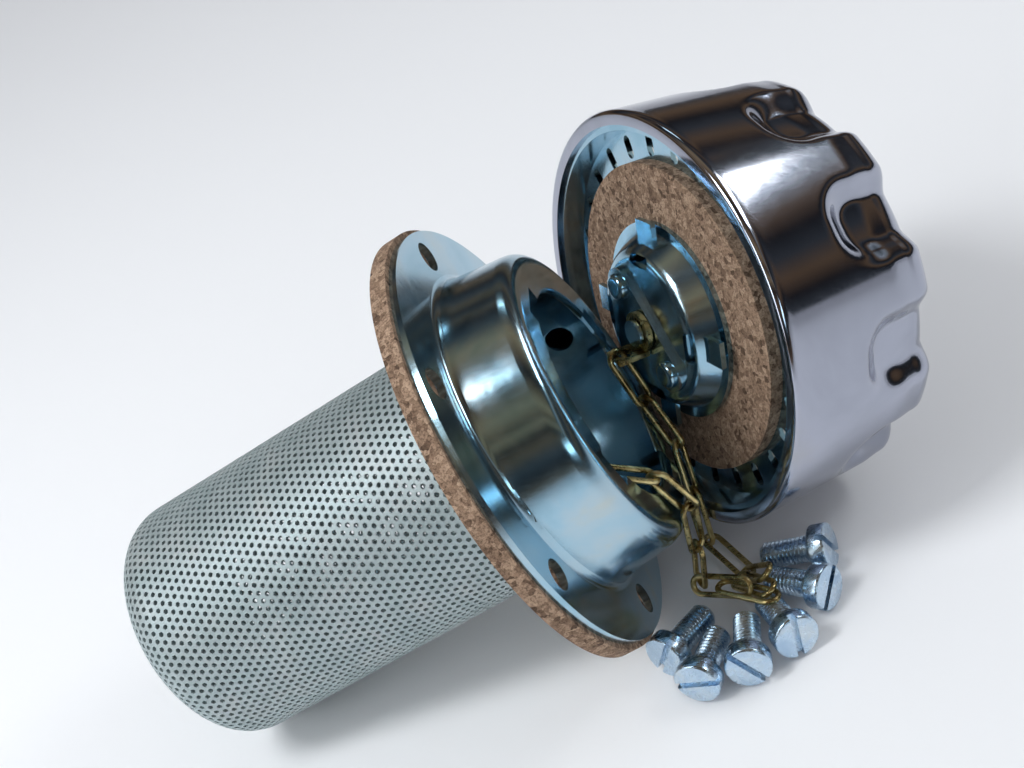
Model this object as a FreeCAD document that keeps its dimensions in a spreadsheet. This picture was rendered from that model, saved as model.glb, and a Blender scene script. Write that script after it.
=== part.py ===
import FreeCAD, Part
import Sketcher
import math
import os

# Hydraulic filler breather, taken apart on a table: filler neck with its strainer,
# bayonet cap leaning on the neck, chain between them and six flange screws.
# Millimetres, +Z up. The neck and the cap are each drawn about their own Z axis
# and then laid down by a placement. The origin is the point of the table under the
# middle of the whole set.

V = FreeCAD.Vector
Z = V(0, 0, 1)

SIZES = {
    # Filler neck: one pressing, height 0 on the upper face of its flange
    "flange_r": 41.5,
    "neck_wall": 1.5,
    "collar_base_r": 31.0,
    "collar_top_r": 29.0,
    "collar_height": 14.3,
    "collar_shoulder": 3.5,
    "collar_foot": 1.5,
    "mouth_r": 20.0,
    "mouth_round": 1.2,
    "lip_depth": 4.5,
    "notch_width": 8.0,
    "notch_reach": 3.2,
    "notch_angle": -5.0,
    "screw_circle_r": 36.5,
    "screw_count": 6,
    "flange_hole_r": 2.9,
    "first_hole_angle": 30.0,
    # Sleeve that joins the strainer to the collar
    "sleeve_wall": 0.8,
    "sleeve_fit": 0.1,
    "sleeve_depth": 10.0,
    "sleeve_hole_r": 2.7,
    "sleeve_hole_height": 7.0,
    "sleeve_hole_angle": 88.0,
    # Cork gasket under the flange
    "gasket_r": 42.5,
    "gasket_thickness": 3.2,
    "gasket_rim_gap": 0.3,
    # Strainer basket
    "basket_r": 24.0,
    "basket_wall": 0.8,
    "basket_length": 81.5,
    "basket_corner": 7.5,
    "basket_rim_r": 33.0,
    "basket_inlet_round": 1.4,
    "disc_thickness": 0.8,
    # Cap shell: height 0 in the plane of its rim, counted towards the closed top
    "rim_r": 40.0,
    "skirt_r": 38.4,
    "skirt_height": 25.0,
    "cap_top_r": 36.8,
    "cap_height": 33.5,
    "cap_round": 5.0,
    "shell_wall": 0.8,
    "hem_width": 2.6,
    # Scoops pressed into the skirt for a grip
    "scoop_count": 10,
    "scoop_r": 11.0,
    "scoop_floor_r": 36.0,
    "scoop_start": 16.5,
    "scoop_end_round": 3.5,
    "scoop_edge": 1.2,
    "scoop_tilt": 5.5,
    "scoop_angle": 13.8,
    # Base pan crimped into the rim
    "pan_wall": 1.0,
    "pan_fit": 0.15,
    "pan_step_in": 3.8,
    "pan_slope": 0.8,
    "pan_floor": 5.0,
    "hub_r": 12.5,
    "hub_foot_r": 15.0,
    "vent_count": 26,
    "vent_in": 7.6,
    "vent_length": 4.4,
    "vent_width": 2.2,
    # Bayonet boss riveted to the hub of the pan
    "boss_wall": 1.0,
    "boss_height": 3.0,
    "boss_top_r": 14.4,
    "boss_base_r": 17.2,
    "boss_rim_r": 19.0,
    "boss_round": 2.6,
    "lug_count": 4,
    "lug_reach": 20.3,
    "lug_width": 5.0,
    "lug_drop": 0.9,
    "lug_angle": -7.0,
    "slot_circle_r": 13.2,
    "slot_length": 6.0,
    "slot_width": 2.4,
    "rivet_count": 2,
    "rivet_circle_r": 9.6,
    "rivet_angle": 128.0,
    "rivet_r": 1.5,
    "rivet_head_r": 2.6,
    "rivet_head": 1.2,
    "rivet_round": 0.9,
    "rivet_back_r": 1.8,
    "rivet_fit": 0.05,
    "strap_wall": 1.0,
    "strap_half_width": 3.6,
    # Cork ring of the cap
    "cork_r": 29.7,
    "cork_inner_r": 17.4,
    "cork_thickness": 2.5,
    # Air filter inside the cap
    "filter_r": 31.6,
    "filter_core_r": 17.5,
    "filter_core_wall": 0.8,
    "filter_gap": 0.2,
    "plate_wall": 0.8,
    # Swivel at the middle of the boss
    "swivel_r": 1.5,
    "swivel_clearance": 0.06,
    "swivel_head_r": 2.6,
    "swivel_head": 0.8,
    "swivel_play": 0.25,
    "eyelet_r": 3.8,
    "eyelet_wall": 1.0,
    "eyelet_ear": 5.4,
    "eyelet_width": 4.6,
    "eyelet_hole_r": 1.5,
    # Chain
    "wire": 1.1,
    "link_length": 13.2,
    "link_width": 4.6,
    # Bar that keeps the end of the chain behind a hole of the sleeve
    "anchor_r": 0.8,
    "anchor_length": 8.0,
    "anchor_circle_r": 24.3,
    # Slotted cheese-head screws
    "screw_r": 2.5,
    "screw_length": 10.0,
    "head_r": 4.25,
    "head_height": 3.3,
    "head_round": 0.5,
    "slot_cut": 1.2,
    "slot_depth": 1.5,
    "tip_chamfer": 0.6,
    # How the cap lies beside the neck
    "cap_x": 26.5,
    "cap_y": 15.6,
    "cap_azimuth": 25.9,
    "cap_pitch": -15.75,
}

# Each screw on the table: where the face of its head stands, and which way it points
SCREWS = [
    (8.2, -27.3, 46.0),
    (12.9, -35.1, 64.0),
    (22.4, -35.0, 82.0),
    (32.1, -31.6, 106.0),
    (40.2, -22.7, 140.0),
    (42.8, -12.9, 161.0),
]

# Each link of the chain, from the eyelet to the sleeve: the middle of the link, the way
# it points, how steeply it rises that way and how far it is rolled about its length
CHAIN = [
    (17.9, 9.9, 38.8, -46, -72, -3),
    (20.5, 7.3, 28.6, -47, -67, 84),
    (21.8, 4.3, 18.4, -96, -74, -72),
    (21.2, 0.9, 8.4, -97, -69, 44),
    (24.1, -5.5, 2.4, -61, -13, -23),
    (27.9, -13.7, 4.4, -56, 38, 16),
    (27.3, -16.7, 5.0, -58, 23, 11),
    (26.0, -19.2, 6.3, 142, -2, 12),
    (21.7, -16.3, 6.6, 148, -8, -56),
    (19.2, -13.8, 11.2, -39, 76, 56),
    (20.8, -14.6, 21.7, -17, 83, -27),
    (19.9, -15.4, 32.1, -167, 70, 58),
    (13.9, -16.5, 40.3, -163, 41, -1),
    (7.1, -21.8, 44.7, -127, 3, -86),
]

doc = FreeCAD.newDocument("filler_breather")
sheet = doc.addObject("Spreadsheet::Sheet", "dim")
for row, (alias, number) in enumerate(SIZES.items(), 1):
    sheet.set("A%d" % row, alias)
    sheet.set("B%d" % row, str(number))
    sheet.setAlias("B%d" % row, alias)
doc.recompute()

pieces = []


def size(expression):
    """Value of an expression of the sheet's names, in millimetres or degrees."""
    return float(sheet.evalExpression(expression))


def bind(thing, **properties):
    """Ties properties of an object to expressions of the sheet's names."""
    for name, expression in properties.items():
        thing.setExpression(name, expression)


def piece(thing, label):
    """Keeps a finished sub-part under the name of its file."""
    thing.Label = label
    pieces.append(thing)
    return thing


def new_body(label):
    return piece(doc.addObject("PartDesign::Body", label), label)


def origin_feature(body, role):
    for feature in body.Origin.OriginFeatures:
        if feature.Role == role:
            return feature
    raise ValueError(role)


def new_sketch(body, name, role, height=None, turn=None):
    """Sketch on an origin plane, lifted by a height and turned in its plane if asked."""
    sketch = body.newObject("Sketcher::SketchObject", name)
    sketch.AttachmentSupport = [(origin_feature(body, role), "")]
    sketch.MapMode = "FlatFace"
    if turn:
        sketch.AttachmentOffset = FreeCAD.Placement(V(), FreeCAD.Rotation(Z, 1))
        sketch.setExpression(".AttachmentOffset.Rotation.Angle", turn)
    if height:
        sketch.setExpression(".AttachmentOffset.Base.z", height)
    return sketch


def pin_point(sketch, geometry, end, across, up):
    """Holds a point of the sketch at two expressions, measured from its origin."""
    for kind, expression in (("DistanceX", across), ("DistanceY", up)):
        number = sketch.addConstraint(
            Sketcher.Constraint(kind, -1, 1, geometry, end, size(expression)))
        sketch.setExpression("Constraints[%d]" % number, expression)


def polygon(sketch, corners):
    """Closed run of lines through corners, each a pair of expressions."""
    points = [V(size(across), size(up), 0) for across, up in corners]
    count = len(points)
    for index, point in enumerate(points):
        sketch.addGeometry(Part.LineSegment(point, points[(index + 1) % count]))
    for index in range(count):
        sketch.addConstraint(Sketcher.Constraint("Coincident", index, 2, (index + 1) % count, 1))
        pin_point(sketch, index, 1, *corners[index])


def outline(body, name, corners):
    """Half section of a turned form: each corner is its radius and its height."""
    sketch = new_sketch(body, name, "XZ_Plane")
    polygon(sketch, corners)
    return sketch


def rectangle(sketch, left, right, half):
    """Rectangle from left to right, reaching half to each side of the X axis."""
    polygon(sketch, [(left, "-" + half), (right, "-" + half), (right, half), (left, half)])


def circle(sketch, across, radius):
    """Circle with its centre on the sketch's X axis."""
    index = sketch.addGeometry(Part.Circle(V(size(across), 0, 0), Z, size(radius)))
    pin_point(sketch, index, 3, across, "0 * " + across)
    number = sketch.addConstraint(Sketcher.Constraint("Radius", index, size(radius)))
    sketch.setExpression("Constraints[%d]" % number, radius)


def long_slot(sketch, across, half_length, half_width, radial):
    """Round-ended slot about a point of the sketch's X axis, along it or across it."""
    reach = size(half_width)
    spread = "(%s - %s)" % (half_length, half_width)
    half = V(size(spread), 0, 0) if radial else V(0, size(spread), 0)
    side = V(0, reach, 0) if radial else V(-reach, 0, 0)
    first = -math.pi / 2 if radial else 0.0
    middle = V(size(across), 0, 0)
    for index, end in enumerate((middle + half, middle - half)):
        start = first + index * math.pi
        sketch.addGeometry(Part.ArcOfCircle(Part.Circle(end, Z, reach), start, start + math.pi))
    sketch.addGeometry(Part.LineSegment(middle + half + side, middle - half + side))
    sketch.addGeometry(Part.LineSegment(middle - half - side, middle + half - side))
    for arc, arc_end, line, line_end in ((0, 2, 2, 1), (1, 1, 2, 2), (1, 2, 3, 1), (0, 1, 3, 2)):
        sketch.addConstraint(Sketcher.Constraint("Tangent", arc, arc_end, line, line_end))
    if radial:
        pin_point(sketch, 0, 3, across + " + " + spread, "0 * " + across)
        pin_point(sketch, 1, 3, across + " - " + spread, "0 * " + across)
    else:
        pin_point(sketch, 0, 3, across, spread)
        pin_point(sketch, 1, 3, across, "-" + spread)
    number = sketch.addConstraint(Sketcher.Constraint("Radius", 0, reach))
    sketch.setExpression("Constraints[%d]" % number, half_width)


def revolve(body, sketch, name):
    feature = body.newObject("PartDesign::Revolution", name)
    feature.Profile = sketch
    feature.ReferenceAxis = (sketch, ["V_Axis"])
    feature.Angle = 360
    doc.recompute()
    return feature


def pocket(body, sketch, name, depth, upwards=False):
    """Cuts the sketch down, or up, by a depth, and checks that it took material away."""
    before = body.Shape.Volume
    feature = body.newObject("PartDesign::Pocket", name)
    feature.Profile = sketch
    feature.Reversed = upwards
    bind(feature, Length=depth)
    doc.recompute()
    if not body.Shape.Volume < before:
        raise ValueError("%s cuts nothing" % name)
    return feature


def pad(body, sketch, name, length):
    feature = body.newObject("PartDesign::Pad", name)
    feature.Profile = sketch
    bind(feature, Length=length)
    doc.recompute()
    return feature


def polar(body, feature, name, count):
    """Repeats a feature round the body's Z axis."""
    pattern = body.newObject("PartDesign::PolarPattern", name)
    pattern.Originals = [feature]
    pattern.Axis = (origin_feature(body, "Z_Axis"), [""])
    pattern.Angle = 360
    bind(pattern, Occurrences=count)
    body.Tip = pattern
    doc.recompute()
    return pattern


def ring_edges(shape, places):
    """Names of the circular edges about Z at each radius and height."""
    names = []
    for across, up in places:
        radius = size(across)
        height = size(up)
        for number, edge in enumerate(shape.Edges, 1):
            curve = edge.Curve
            if not isinstance(curve, Part.Circle):
                continue
            if abs(curve.Center.z - height) > 1e-4 or abs(curve.Radius - radius) > 1e-4:
                continue
            if math.hypot(curve.Center.x, curve.Center.y) < 1e-4:
                names.append("Edge%d" % number)
    return names


def rounded(body, base, name, radius, places):
    """Fillets the circular edges of base at the given places."""
    names = ring_edges(base.Shape, places)
    if len(names) < len(places):
        raise ValueError("%s finds %d of %d edges" % (name, len(names), len(places)))
    feature = body.newObject("PartDesign::Fillet", name)
    feature.Base = (base, names)
    bind(feature, Radius=radius)
    doc.recompute()
    return feature


def cylinder(name, radius, height, z=None):
    """Upright cylinder on expressions, for use in a boolean."""
    solid = doc.addObject("Part::Cylinder", name)
    bind(solid, Radius=radius, Height=height)
    if z:
        solid.setExpression(".Placement.Base.z", z)
    return solid


def cut(name, base, tool):
    result = doc.addObject("Part::Cut", name)
    result.Base = base
    result.Tool = tool
    doc.recompute()
    return result


def fuse(name, solids):
    result = doc.addObject("Part::MultiFuse", name)
    result.Shapes = solids
    result.Refine = True
    doc.recompute()
    return result


def laid(label, shape, places):
    """Identical solids in one node, or one solid, laid at places of their own."""
    node = doc.addObject("Part::Feature", label)
    copies = []
    for place in places:
        copy = shape.copy()
        copy.Placement = place.multiply(copy.Placement)
        copies.append(copy)
    node.Shape = Part.makeCompound(copies) if len(copies) > 1 else copies[0]
    return piece(node, label)


def screw_holes(body, depth, height):
    """The circle of screw holes, the same in the flange and in its gasket."""
    sketch = new_sketch(body, "screw_hole", "XY_Plane", height, "dim.first_hole_angle")
    circle(sketch, "dim.screw_circle_r", "dim.flange_hole_r")
    hole = pocket(body, sketch, "screw_hole_cut", depth)
    polar(body, hole, "screw_hole_circle", "dim.screw_count")


def filler_neck():
    """Flange, collar and turned-in mouth, pressed from one sheet."""
    body = new_body("filler_neck")
    face = "0 * dim.collar_height"
    under = "-dim.neck_wall"
    top = "dim.collar_height"
    inner_top = "dim.collar_height - dim.neck_wall"
    lip_end = "dim.collar_height - dim.lip_depth"
    form = revolve(body, outline(body, "neck_profile", [
        ("dim.mouth_r", lip_end),
        ("dim.mouth_r", top),
        ("dim.collar_top_r", top),
        ("dim.collar_base_r", face),
        ("dim.flange_r", face),
        ("dim.flange_r", under),
        ("dim.collar_base_r - dim.neck_wall", under),
        ("dim.collar_top_r - dim.neck_wall", inner_top),
        ("dim.mouth_r + dim.neck_wall", inner_top),
        ("dim.mouth_r + dim.neck_wall", lip_end),
    ]), "neck_form")
    form = rounded(body, form, "neck_shoulder", "dim.collar_shoulder", [("dim.collar_top_r", top)])
    form = rounded(body, form, "neck_shoulder_inside", "dim.collar_shoulder - dim.neck_wall",
                   [("dim.collar_top_r - dim.neck_wall", inner_top)])
    form = rounded(body, form, "neck_mouth", "dim.mouth_round", [("dim.mouth_r", top)])
    form = rounded(body, form, "neck_foot", "dim.collar_foot", [("dim.collar_base_r", face)])
    rounded(body, form, "neck_foot_inside", "dim.collar_foot + dim.neck_wall",
            [("dim.collar_base_r - dim.neck_wall", under)])
    screw_holes(body, "dim.neck_wall", None)
    sketch = new_sketch(body, "lip_notch", "XY_Plane", top, "dim.notch_angle")
    rectangle(sketch, "dim.mouth_r - dim.neck_wall", "dim.mouth_r + dim.notch_reach",
              "dim.notch_width / 2")
    notch = pocket(body, sketch, "lip_notch_cut", "dim.lip_depth")
    polar(body, notch, "lip_notches", "dim.lug_count")
    return body


def throat_sleeve():
    """Tube that joins the strainer to the collar, with two vent holes across it."""
    outer = "dim.basket_r - dim.basket_wall - dim.sleeve_fit"
    length = "dim.collar_height - dim.neck_wall + dim.sleeve_depth"
    outside = cylinder("sleeve_outside", outer, length, "-dim.sleeve_depth")
    inside = cylinder("sleeve_inside", outer + " - dim.sleeve_wall", length, "-dim.sleeve_depth")
    tube = cut("sleeve_tube", outside, inside)
    drill = cylinder("sleeve_drill", "dim.sleeve_hole_r", "2 * dim.basket_r")
    across = FreeCAD.Rotation(Z, size("dim.sleeve_hole_angle")).multiply(
        FreeCAD.Rotation(V(0, 1, 0), 90))
    start = across.multVec(Z) * -size("dim.basket_r") + Z * size("dim.sleeve_hole_height")
    drill.Placement = FreeCAD.Placement(start, across)
    return piece(cut("throat_sleeve", tube, drill), "throat_sleeve")


def chain_anchor():
    """Bar across the back of a hole in the sleeve, inside the last link of the chain."""
    bar = piece(cylinder("chain_anchor", "dim.anchor_r", "dim.anchor_length"), "chain_anchor")
    turn = FreeCAD.Rotation(Z, size("dim.sleeve_hole_angle") + 180)
    seat = V(size("dim.anchor_circle_r"), 0, size("dim.sleeve_hole_height - dim.anchor_length / 2"))
    bar.Placement = FreeCAD.Placement(turn.multVec(seat), turn)
    return bar


def flange_gasket():
    """Cork ring between the flange and the tank, round the rim of the strainer."""
    body = new_body("flange_gasket")
    inner = "dim.basket_rim_r + dim.gasket_rim_gap"
    top = "-dim.neck_wall"
    bottom = "-dim.neck_wall - dim.gasket_thickness"
    revolve(body, outline(body, "gasket_profile", [
        (inner, top), ("dim.gasket_r", top), ("dim.gasket_r", bottom), (inner, bottom)]), "gasket_form")
    screw_holes(body, "dim.gasket_thickness", top)
    return body


def strainer_basket():
    """Drawn cup of perforated sheet, its rim held under the flange."""
    body = new_body("strainer_basket")
    axis = "0 * dim.basket_r"
    seat = "-dim.neck_wall"
    under = "-dim.neck_wall - dim.basket_wall"
    bottom = "-dim.basket_length"
    floor = "dim.basket_wall - dim.basket_length"
    inner = "dim.basket_r - dim.basket_wall"
    form = revolve(body, outline(body, "basket_profile", [
        ("dim.basket_rim_r", seat),
        ("dim.basket_rim_r", under),
        ("dim.basket_r", under),
        ("dim.basket_r", bottom),
        (axis, bottom),
        (axis, floor),
        (inner, floor),
        (inner, seat),
    ]), "basket_form")
    form = rounded(body, form, "basket_corner", "dim.basket_corner", [("dim.basket_r", bottom)])
    form = rounded(body, form, "basket_corner_inside", "dim.basket_corner - dim.basket_wall",
                   [(inner, floor)])
    form = rounded(body, form, "basket_inlet", "dim.basket_inlet_round", [(inner, seat)])
    rounded(body, form, "basket_inlet_outside", "dim.basket_inlet_round - dim.basket_wall",
            [("dim.basket_r", under)])
    return body


def strainer_end_disc():
    """Plain disc welded on the floor of the basket."""
    body = new_body("strainer_end_disc")
    axis = "0 * dim.basket_r"
    floor = "dim.basket_wall - dim.basket_length"
    top = floor + " + dim.disc_thickness"
    radius = "dim.basket_r - dim.basket_corner"
    revolve(body, outline(body, "end_disc_profile", [
        (axis, floor), (radius, floor), (radius, top), (axis, top)]), "end_disc_form")
    return body


def turned_about_z(face):
    """Whether a face belongs to the turned form, and not to a scoop."""
    surface = face.Surface
    if isinstance(surface, Part.Plane):
        return abs(surface.Axis.z) > 0.9999
    if not isinstance(surface, (Part.Cone, Part.Cylinder, Part.Toroid)):
        return False
    return abs(surface.Axis.z) > 0.9999 and math.hypot(surface.Center.x, surface.Center.y) < 1e-4


def softened(base, name, radius):
    """Rounds the edges where the scoops meet the turned form."""
    shape = base.Shape
    edges = []
    for number, edge in enumerate(shape.Edges, 1):
        sides = [turned_about_z(face) for face in shape.ancestorsOfType(edge, Part.Face)]
        if sorted(sides) == [False, True]:
            edges.append((number, size(radius), size(radius)))
    fillet = doc.addObject("Part::Fillet", name)
    fillet.Base = base
    fillet.Edges = edges
    doc.recompute()
    return fillet


def shell_form(name, inset, corners):
    """Solid form of the cap with its scoops, or the same form one wall smaller."""
    body = doc.addObject("PartDesign::Body", name)
    top = "dim.cap_height - " + inset
    form = revolve(body, outline(body, name + "_profile", corners + [
        ("dim.skirt_r - " + inset, "dim.skirt_height"),
        ("dim.cap_top_r - " + inset, top),
        ("0 * dim.rim_r", top),
    ]), name + "_turned")
    rounded(body, form, name + "_top", "dim.cap_round - " + inset,
            [("dim.cap_top_r - " + inset, top)])
    tool = cylinder(name + "_scoop", "dim.scoop_r + " + inset, "dim.cap_height")
    doc.recompute()
    blunt = doc.addObject("Part::Fillet", name + "_scoop_end")
    blunt.Base = tool
    bottom = ring_edges(tool.Shape, [("dim.scoop_r + " + inset, "0 * dim.rim_r")])
    reach = size("dim.scoop_end_round + " + inset)
    blunt.Edges = [(int(edge[4:]), reach, reach) for edge in bottom]
    doc.recompute()
    scoops = []
    count = int(size("dim.scoop_count"))
    stand = size("dim.scoop_floor_r + dim.scoop_r")
    start = size("dim.scoop_start - " + inset)
    lean = FreeCAD.Rotation(V(0, 1, 0), -size("dim.scoop_tilt"))
    for number in range(count):
        turn = FreeCAD.Rotation(Z, size("dim.scoop_angle") + 360.0 * number / count)
        scoop = doc.addObject("Part::Feature", "%s_scoop_%d" % (name, number + 1))
        scoop.Shape = blunt.Shape
        scoop.Placement = FreeCAD.Placement(turn.multVec(V(stand, 0, start)), turn.multiply(lean))
        scoops.append(scoop)
    tools = doc.addObject("Part::Compound", name + "_scoops")
    tools.Links = scoops
    doc.recompute()
    scooped = cut(name + "_scooped", body, tools)
    return softened(scooped, name + "_softened", "dim.scoop_edge - " + inset)


def cap_shell():
    """Pressed cap: tapered skirt with scoops, closed top and turned-in hem."""
    axis = "0 * dim.rim_r"
    outside = shell_form("shell_outside", "0 * dim.shell_wall", [(axis, axis), ("dim.rim_r", axis)])
    mouth = "dim.rim_r - dim.hem_width"
    inside = shell_form("shell_inside", "dim.shell_wall", [
        (axis, "-dim.shell_wall"),
        (mouth, "-dim.shell_wall"),
        (mouth, "dim.shell_wall"),
        ("dim.rim_r - dim.shell_wall", "dim.shell_wall"),
    ])
    return piece(cut("cap_shell", outside, inside), "cap_shell")


def rivet_holes(body, depth, height):
    """Holes of the two rivets and of the swivel between them."""
    sketch = new_sketch(body, "rivet_hole", "XY_Plane", height, "dim.rivet_angle")
    circle(sketch, "dim.rivet_circle_r", "dim.rivet_r + dim.rivet_fit")
    hole = pocket(body, sketch, "rivet_hole_cut", depth, upwards=True)
    polar(body, hole, "rivet_holes", "dim.rivet_count")
    sketch = new_sketch(body, "swivel_hole", "XY_Plane", height)
    circle(sketch, "0 * dim.swivel_r", "dim.swivel_r + dim.rivet_fit")
    pocket(body, sketch, "swivel_hole_cut", depth, upwards=True)


def base_pan():
    """Pan that closes the cap, with a hub for the boss and radial vent slots."""
    body = new_body("base_pan")
    axis = "0 * dim.rim_r"
    seat = "dim.shell_wall"
    edge = "dim.rim_r - dim.shell_wall - dim.pan_fit"
    hub = "dim.boss_wall - dim.boss_height"
    floor = "dim.pan_floor"
    revolve(body, outline(body, "pan_profile", [
        (axis, hub),
        ("dim.hub_r", hub),
        ("dim.hub_foot_r", floor),
        ("dim.rim_r - dim.pan_step_in - dim.pan_slope", floor),
        ("dim.rim_r - dim.pan_step_in", seat),
        (edge, seat),
        (edge, seat + " + dim.pan_wall"),
        ("dim.rim_r - dim.pan_step_in + dim.pan_wall", seat + " + dim.pan_wall"),
        ("dim.rim_r - dim.pan_step_in - dim.pan_slope + dim.pan_wall", floor + " + dim.pan_wall"),
        ("dim.hub_foot_r - dim.pan_wall", floor + " + dim.pan_wall"),
        ("dim.hub_r - dim.pan_wall", hub + " + dim.pan_wall"),
        (axis, hub + " + dim.pan_wall"),
    ]), "pan_form")
    sketch = new_sketch(body, "vent", "XY_Plane", floor)
    long_slot(sketch, "(dim.rim_r - dim.vent_in)", "dim.vent_length / 2", "dim.vent_width / 2", True)
    vent = pocket(body, sketch, "vent_cut", "dim.pan_wall", upwards=True)
    polar(body, vent, "vents", "dim.vent_count")
    rivet_holes(body, "dim.pan_wall", hub)
    return body


def bayonet_boss():
    """Pressed cup whose lugs hook under the neck's lip, each lanced beside a slot."""
    body = new_body("bayonet_boss")
    axis = "0 * dim.rim_r"
    crown = "-dim.boss_height"
    inner = "dim.boss_wall - dim.boss_height"
    rim = "dim.pan_floor - dim.cork_thickness"
    form = revolve(body, outline(body, "boss_profile", [
        (axis, crown),
        ("dim.boss_top_r", crown),
        ("dim.boss_base_r", rim + " - dim.boss_wall"),
        ("dim.boss_rim_r", rim + " - dim.boss_wall"),
        ("dim.boss_rim_r", rim),
        ("dim.boss_base_r - dim.boss_wall", rim),
        ("dim.boss_top_r - dim.boss_wall", inner),
        (axis, inner),
    ]), "boss_form")
    form = rounded(body, form, "boss_shoulder", "dim.boss_round", [("dim.boss_top_r", crown)])
    rounded(body, form, "boss_shoulder_inside", "dim.boss_round - dim.boss_wall",
            [("dim.boss_top_r - dim.boss_wall", inner)])
    sketch = new_sketch(body, "lug", "XY_Plane", "-dim.lug_drop", "dim.lug_angle")
    rectangle(sketch, "dim.boss_base_r - 2 * dim.boss_wall", "dim.lug_reach", "dim.lug_width / 2")
    lug = pad(body, sketch, "lug_pad", "dim.boss_wall")
    polar(body, lug, "lugs", "dim.lug_count")
    sketch = new_sketch(body, "boss_slot", "XY_Plane", crown, "dim.lug_angle")
    long_slot(sketch, "dim.slot_circle_r", "dim.slot_length / 2", "dim.slot_width / 2", False)
    slot = pocket(body, sketch, "boss_slot_cut", "dim.boss_height", upwards=True)
    polar(body, slot, "boss_slots", "dim.lug_count")
    rivet_holes(body, "dim.boss_wall", crown)
    return body


def chain_strap():
    """Round-ended bar across the boss that carries the chain, held by the two rivets."""
    body = new_body("chain_strap")
    seat = "-dim.boss_height - dim.strap_wall"
    sketch = new_sketch(body, "strap", "XY_Plane", seat, "dim.rivet_angle")
    long_slot(sketch, "0 * dim.rivet_r", "(dim.rivet_circle_r + dim.strap_half_width)",
              "dim.strap_half_width", True)
    pad(body, sketch, "strap_pad", "dim.strap_wall")
    rivet_holes(body, "dim.strap_wall", seat)
    return body


def headed_pin(name, radius, length, head, head_r, back_r):
    """Shank along +Z from 0 with a head below 0 and another beyond its length."""
    shank = cylinder(name + "_shank", radius, length)
    front = cylinder(name + "_front", head_r, head, "-" + head)
    back = cylinder(name + "_back", back_r, head, length)
    doc.recompute()
    return fuse(name, [shank, front, back])


def boss_rivets():
    """Two domed rivets through the strap, the boss and the hub."""
    grip = "dim.strap_wall + dim.boss_wall + dim.pan_wall"
    form = headed_pin("rivet_form", "dim.rivet_r", "(%s)" % grip, "dim.rivet_head",
                      "dim.rivet_head_r", "dim.rivet_back_r")
    dome = doc.addObject("Part::Fillet", "rivet_dome")
    dome.Base = form
    edges = ring_edges(form.Shape, [("dim.rivet_head_r", "-dim.rivet_head")])
    reach = size("dim.rivet_round")
    dome.Edges = [(int(edge[4:]), reach, reach) for edge in edges]
    doc.recompute()
    places = []
    count = int(size("dim.rivet_count"))
    for number in range(count):
        turn = FreeCAD.Rotation(Z, size("dim.rivet_angle") + 360.0 * number / count)
        seat = V(size("dim.rivet_circle_r"), 0, -size("dim.boss_height + dim.strap_wall"))
        places.append(FreeCAD.Placement(turn.multVec(seat), turn))
    return laid("boss_rivets", dome.Shape, places)


def cap_gasket():
    """Cork ring that the cap presses on the collar."""
    body = new_body("cap_gasket")
    top = "dim.pan_floor"
    bottom = "dim.pan_floor - dim.cork_thickness"
    revolve(body, outline(body, "cork_profile", [
        ("dim.cork_inner_r", bottom), ("dim.cork_r", bottom), ("dim.cork_r", top),
        ("dim.cork_inner_r", top)]), "cork_form")
    return body


def ring_body(label, inner, outer, bottom, top):
    """Plain ring, or a disc where the inner radius is zero."""
    body = new_body(label)
    revolve(body, outline(body, label + "_profile", [
        (inner, bottom), (outer, bottom), (outer, top), (inner, top)]), label + "_form")
    return body


def air_filter():
    """Filter ring between the pan and a plate under the closed top, on a core tube."""
    floor = "dim.pan_floor + dim.pan_wall"
    roof = "dim.cap_height - dim.shell_wall - dim.plate_wall"
    core_out = "dim.filter_core_r + dim.filter_core_wall"
    ring_body("filter_core", "dim.filter_core_r", core_out, floor, roof)
    ring_body("filter_element", core_out + " + dim.filter_gap", "dim.filter_r", floor, roof)
    ring_body("filter_plate", "0 * dim.filter_r", "dim.filter_r", roof, roof + " + dim.plate_wall")


def swivel():
    """Pin at the middle of the boss and the eyelet that turns on it."""
    grip = "(dim.strap_wall + dim.boss_wall + dim.pan_wall)"
    room = "(2 * dim.swivel_play + dim.eyelet_wall)"
    pin = headed_pin("swivel_pin", "dim.swivel_r", "(%s + %s)" % (grip, room), "dim.swivel_head",
                     "dim.swivel_head_r", "dim.swivel_head_r")
    piece(pin, "swivel_pin")
    washer = cylinder("eyelet_washer", "dim.eyelet_r", "dim.eyelet_wall")
    bore = cylinder("eyelet_bore", "dim.swivel_r + dim.swivel_clearance", "dim.eyelet_wall")
    ear = doc.addObject("Part::Box", "eyelet_ear")
    bind(ear, Length="dim.eyelet_wall", Width="dim.eyelet_width",
         Height="dim.eyelet_ear + dim.eyelet_wall")
    ear.setExpression(".Placement.Base.x", "dim.eyelet_r - dim.eyelet_wall / 2")
    ear.setExpression(".Placement.Base.y", "-dim.eyelet_width / 2")
    ear.setExpression(".Placement.Base.z", "-dim.eyelet_ear")
    hole = cylinder("eyelet_hole", "dim.eyelet_hole_r", "4 * dim.eyelet_wall")
    hole.Placement = FreeCAD.Placement(
        V(size("dim.eyelet_r - 2 * dim.eyelet_wall"), 0, -size("dim.eyelet_ear - dim.eyelet_width / 2")),
        FreeCAD.Rotation(V(0, 1, 0), 90))
    plate = fuse("eyelet_plate", [washer, ear])
    tools = fuse("eyelet_tools", [bore, hole])
    eyelet = piece(cut("chain_eyelet", plate, tools), "chain_eyelet")
    return pin, eyelet


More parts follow.
